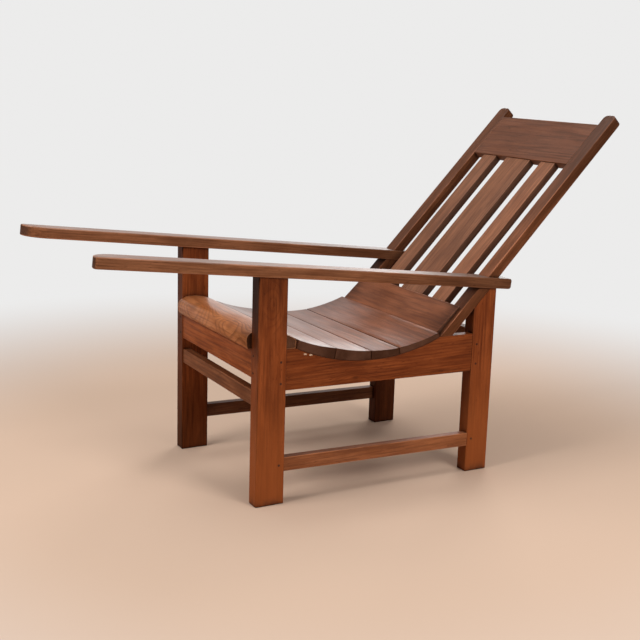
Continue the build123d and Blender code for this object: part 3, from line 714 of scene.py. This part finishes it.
stile_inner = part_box("back_stile_left")[0][0]
slat_low = lower_rail_place + lower_rail_height
slat_space = (2 * stile_inner - wide_slat - 2 * narrow_slat) / 4
slat_step = (wide_slat + narrow_slat) / 2 + slat_space
crest_tones = ((0.179, 0.0619, 0.0281), (0.128, 0.0427, 0.0185), (0.0536, 0.0179, 0.008))
slat_tones = ((0.278, 0.114, 0.0567), (0.196, 0.0741, 0.0354), (0.0821, 0.0278, 0.0128))
rail_build = (0, back_rail_thickness)
slat_build = (slat_recess, slat_thickness)
crest_top = crest_place + crest_height
back_boards = [
    ("crest_rail", 0, stile_inner, crest_place, crest_top, rail_build, crest_tones),
    ("lower_back_rail", 0, stile_inner, lower_rail_place, slat_low, rail_build, crest_tones),
    ("back_slat_centre", 0, wide_slat / 2, slat_low, crest_place, slat_build, slat_tones),
    # The left slat's brighter tones are a painted sheen
    ("back_slat_left", slat_step, narrow_slat / 2, slat_low, crest_place, slat_build,
     tones_times(slat_tones, 1.35)),
    ("back_slat_right", -slat_step, narrow_slat / 2, slat_low, crest_place, slat_build, slat_tones),
]
for seed, (name, at, half, bottom, top, (recess, thickness), tones) in enumerate(back_boards, 45):
    outline = [(at - half, bottom), (at + half, bottom), (at + half, top), (at - half, top)]
    board = sawn(outline, back_place(recess + thickness), thickness)
    middle = middle_of(board)
    ease(board, arrises(board), rail_ease)
    run, width = (back_way, across) if "slat" in name else (across, back_way)
    # The slats' sides are darkened with painted shade between them, and the grey over every board
    # is part dusty film and part painted sheen
    finish = teak(
        f"teak_{name}", run, width, middle, tones, seed + 0.6, heart=(0.02, 0.11), dust_and_sheen=0.05,
        painted_shade_faces=[(across, 0.65), (-across, 0.65)] if "slat" in name else [], polish=0.25,
    )
    piece(f"{name}_wood", board, finish, name)

# Seat roll: the thick front slat, rounded over its nose and crown, notched round the front posts
# and carried by the front rail. Teak with a knot towards each end, worn to a bright orange brown
# in front and polished on the crown.
roll_reach = 0.0145
roll_height = 0.050
slat_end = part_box("seat_front_roll")[1][0]
roll_tones = ((0.56, 0.212, 0.079), (0.4, 0.129, 0.0385), (0.155, 0.045, 0.0145))
roll_nose_y = front_y - roll_reach
roll_depth = roll_back_y - roll_nose_y
roll_steps = 12
roll_crown = 0.36
roll_shoulder = 0.48
roll_fullness = 0.85
roll_fall = 0.54
roll_ease = 0.0015
notch_clearance = 0.0005


def roll_section():
    """The roll's outline: an upright front, a full shoulder up to the crown, a long fall behind."""
    shares = [(1.0, 0.0), (0.04, 0.0), (0.0, 0.2)]
    for step in range(roll_steps + 1):
        turn = math.pi / 2 * step / roll_steps
        along = roll_crown * (1 - math.cos(turn) ** roll_fullness)
        rise = roll_shoulder + (1 - roll_shoulder) * math.sin(turn) ** roll_fullness
        shares.append((along, rise))
    for step in range(1, roll_steps + 1):
        share = step / roll_steps
        shares.append((roll_crown + (1 - roll_crown) * share, 1.0 - roll_fall * share**2.2))
    return [
        (roll_nose_y + along * roll_depth, rail_front_top + rise * roll_height)
        for along, rise in shares
    ]


post_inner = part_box("front_post_left")[0][0] - notch_clearance
notch_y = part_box("front_post_left")[1][1] + notch_clearance
board = sawn(roll_section(), side_view(-post_inner), 2 * post_inner)
middle = middle_of(board)
bmesh.ops.bisect_plane(
    board, geom=[*board.verts, *board.edges, *board.faces],
    plane_co=(0, notch_y, 0), plane_no=rearwards,
)
for sign in (-1, 1):
    ends = [
        face for face in board.faces
        if face.normal.x * sign > 0.9 and face.calc_center_median().y > notch_y
    ]
    ears = bmesh.ops.extrude_discrete_faces(board, faces=ends)["faces"]
    for ear in ears:
        bmesh.ops.translate(board, verts=ear.verts, vec=(sign * (slat_end - post_inner), 0, 0))
bmesh.ops.recalc_face_normals(board, faces=board.faces)
for face in board.faces:
    face.smooth = abs(face.normal.x) < 0.5 and face.normal.z > -0.9
ease(board, arrises(board, 1.2), roll_ease, 2)
# Its front faces are darkened with painted shade, and its corners take little of the painted corner
# shade
finish = teak(
    "teak_seat_roll", across, rearwards, middle, roll_tones, 52.3,
    heart=(0.02, -0.02), ring=0.006, slope=0.05, contrast=0.62, gloss=0.3, polish=0.9,
    knots=[(-0.135, -0.045, 0.02), (0.115, -0.04, 0.014)], painted_corner_shade=0.1, painted_shade_faces=[(-rearwards, 0.15)],
)
piece("seat_front_roll_wood", board, finish, "seat_front_roll")

# Seat slats: four boards hollowed on top, lying in the side rails' sweep on hidden dowels. Teak
# polished by use, most of all on the front one, with dark end grain over the rails.
joint_shares = [0.0, 0.255, 0.507, 0.71, 1.0]
seat_polish = [0.74, 0.42, 0.24, 0.24]
depth_shares = [0.92, 1.2, 1.0, 0.76, 0.56]
slat_depth = 0.025
slat_gap = 0.0016
slat_steps = 8
slat_ease = 0.0012
hollow_run = stile_foot_y - roll_back_y
joints = [roll_back_y + share * hollow_run for share in joint_shares]
seat_tones = ((0.285, 0.095, 0.04), (0.199, 0.06, 0.0225), (0.08, 0.0225, 0.0085))


def seat_depth(y):
    """Depth of the seat's slats above the hollow at a place, eased from joint to joint."""
    i = next((i for i in range(3) if y <= joints[i + 1]), 3)
    share = (y - joints[i]) / (joints[i + 1] - joints[i])
    return slat_depth * (depth_shares[i] + share * (depth_shares[i + 1] - depth_shares[i]))


def seat_point(y, rise):
    """Side view point that far above the hollow, square to it."""
    low_point = Vector(hollow_point(y))
    return tuple(low_point + rise * (hollow_centre - low_point).normalized())


for i, place in enumerate(["front", "second", "third", "fourth"]):
    start, end = joints[i] + slat_gap / 2, joints[i + 1] - slat_gap / 2
    places = [start + (end - start) * step / slat_steps for step in range(slat_steps + 1)]
    outline = [hollow_point(y) for y in places]
    outline += [seat_point(y, seat_depth(y)) for y in reversed(places)]
    board = sawn(outline, side_view(-slat_end), 2 * slat_end)
    middle = middle_of(board)
    for face in board.faces:
        face.smooth = abs(face.normal.z) > 0.8
    ease(board, arrises(board, 0.9), slat_ease, 2)
    finish = teak(
        f"teak_seat_slat_{place}", across, rearwards, middle, seat_tones, 55.5 + 2.3 * i,
        heart=(0.03, -0.09), ring=0.009, gloss=0.34, polish=seat_polish[i], wear=-0.7,
    )
    piece(f"seat_slat_{place}_wood", board, finish, f"seat_slat_{place}")

# Rear seat slat: a board that thins towards its top edge, laid on the stiles and the lower back
# rail at the foot of the back. Teak, polished like the seat.
rear_slat_width = 0.106
rear_slat_foot_thickness = 0.012
rear_slat_top_thickness = 0.006
rear_slat_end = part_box("seat_slat_rear")[1][0]
outline = [
    on_back(slat_gap / 2, 0),
    on_back(rear_slat_width, 0),
    on_back(rear_slat_width, -rear_slat_top_thickness),
    on_back(slat_gap / 2, -rear_slat_foot_thickness),
]
board = sawn(outline, side_view(-rear_slat_end), 2 * rear_slat_end)
middle = middle_of(board)
ease(board, arrises(board), slat_ease, 2)
# The grey over it is part dusty film and part painted sheen
finish = teak(
    "teak_seat_slat_rear", across, back_way, middle, seat_tones, 66.1,
    heart=(0.02, 0.1), ring=0.009, gloss=0.36, polish=0.4, dust_and_sheen=0.03,
)
piece("seat_slat_rear_wood", board, finish, "seat_slat_rear")

# Pegs: riven teak pegs, driven through the tenons and pared off. Their end grain has gone nearly
# black with oil. The dowels under the seat are of the same wood and stay hidden.
peg_tones = ((0.05, 0.022, 0.012), (0.035, 0.015, 0.008), (0.015, 0.007, 0.004))
peg_finish = teak(
    "teak_pegs", across, upwards, (0, 0, 0), peg_tones, 71.0, ring=0.002, gloss=0.5
)
for name in ("joint_pegs", "hidden_dowels"):
    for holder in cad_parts[name].material_slots:
        holder.material = peg_finish

# Floor: a plain pale surface that takes the chair's shadow and fades to white far off, where it
# meets the wall.
floor_size = 14.0
fade_start, fade_end = 0.9, 2.7
wall_white = (1.0, 0.995, 0.99, 1.0)
wall_level = 0.84
floor_shape = bmesh.new()
bmesh.ops.create_grid(floor_shape, x_segments=1, y_segments=1, size=floor_size)
floor_mesh = bpy.data.meshes.new("floor")
floor_shape.to_mesh(floor_mesh)
floor_shape.free()
floor_finish = bpy.data.materials.new("pale_floor")
floor_finish.use_nodes = True
tree = floor_finish.node_tree
tree.nodes.clear()
spot = add(tree, "ShaderNodeTexCoord").outputs["Object"]
plain = add(tree, "ShaderNodeBsdfDiffuse", {"Color": (0.69, 0.51, 0.395, 1.0)})
bright = add(tree, "ShaderNodeEmission", {"Color": wall_white, "Strength": wall_level})
fade = between(tree, length_of(tree, spot), fade_start, fade_end)
far_off = add(tree, "ShaderNodeMixShader", {0: fade, 1: plain.outputs[0], 2: bright.outputs[0]})
add(tree, "ShaderNodeOutputMaterial", {"Surface": far_off.outputs[0]})
floor_mesh.materials.append(floor_finish)
floor = bpy.data.objects.new("floor", floor_mesh)
bpy.context.collection.objects.link(floor)

# World: near white where it is seen. Polished wood mirrors it white from behind the chair and dim
# from the camera's side, as in a room lit from a window wall, and dull surfaces get a faint fill.
window_way = (-0.86, 0.49, 0.12)
mirrored_dim = 0.15
fill_level = 0.14
world = bpy.data.worlds.new("studio")
bpy.context.scene.world = world
world.use_nodes = True
tree = world.node_tree
tree.nodes.clear()
rays = add(tree, "ShaderNodeLightPath")
way = add(tree, "ShaderNodeTexCoord").outputs["Generated"]
window = between(tree, turned_to(tree, way, window_way), 0.78, 0.99, mirrored_dim, 1.0)
mirrored = sums(tree, "MAXIMUM", rays.outputs["Is Glossy Ray"], rays.outputs["Is Transmission Ray"])
mirrored = sums(tree, "MULTIPLY", mirrored, window)
seen = sums(tree, "MULTIPLY", rays.outputs["Is Camera Ray"], wall_level)
level = sums(tree, "MAXIMUM", sums(tree, "MAXIMUM", seen, mirrored), fill_level)
sky = add(tree, "ShaderNodeBackground", {"Color": wall_white, "Strength": level})
add(tree, "ShaderNodeOutputWorld", {"Surface": sky.outputs[0]})

# Lamps: a broad soft box overhead, one high in front of the chair, one at its left side and a
# weaker one behind it. Each has its name, place, aim, size in metres, power in watts and tint.
lamps = (
    ("overhead", (-0.3, 0.1, 3.2), (0, 0, 0.4), 2.4, 36.0, (1.0, 0.98, 0.95)),
    ("front", (0.3, -3.1, 2.9), (0, 0, 0.3), 1.5, 84.0, (1.0, 0.97, 0.93)),
    ("side", (3.4, 0.7, 2.1), (0, 0, 0.3), 1.4, 68.0, (1.0, 0.97, 0.93)),
    ("back", (-2.6, 2.6, 2.4), (0, 0, 0.4), 1.6, 50.0, (1.0, 0.98, 0.96)),
)
for name, at, aim, size, power, tint in lamps:
    lamp = bpy.data.lights.new(name, "AREA")
    lamp.shape = "SQUARE"
    lamp.size = size
    lamp.energy = power
    lamp.color = tint
    holder = bpy.data.objects.new(name, lamp)
    holder.location = at
    holder.rotation_euler = (Vector(aim) - Vector(at)).to_track_quat("-Z", "Y").to_euler()
    bpy.context.collection.objects.link(holder)

# Camera: at the photograph's angle, in front of the chair's left side and above its arms, turned
# and tipped as it was.
camera_x = 2.8471
camera_ahead = 1.2347
camera_height = 1.1502
camera_turn = 1.06659
camera_dip = 0.21803
camera_roll = 0.03049
camera_data = bpy.data.cameras.new("camera")
camera_data.sensor_width = 36.0
camera_data.lens = 63.67
camera = bpy.data.objects.new("camera", camera_data)
camera.matrix_world = (
    Matrix.Translation((camera_x, front_y - camera_ahead, camera_height))
    @ Matrix.Rotation(camera_turn, 4, "Z")
    @ Matrix.Rotation(math.pi / 2 - camera_dip, 4, "X")
    @ Matrix.Rotation(camera_roll, 4, "Z")
)
bpy.context.collection.objects.link(camera)
bpy.context.scene.camera = camera
bpy.context.scene.view_settings.view_transform = "Standard"
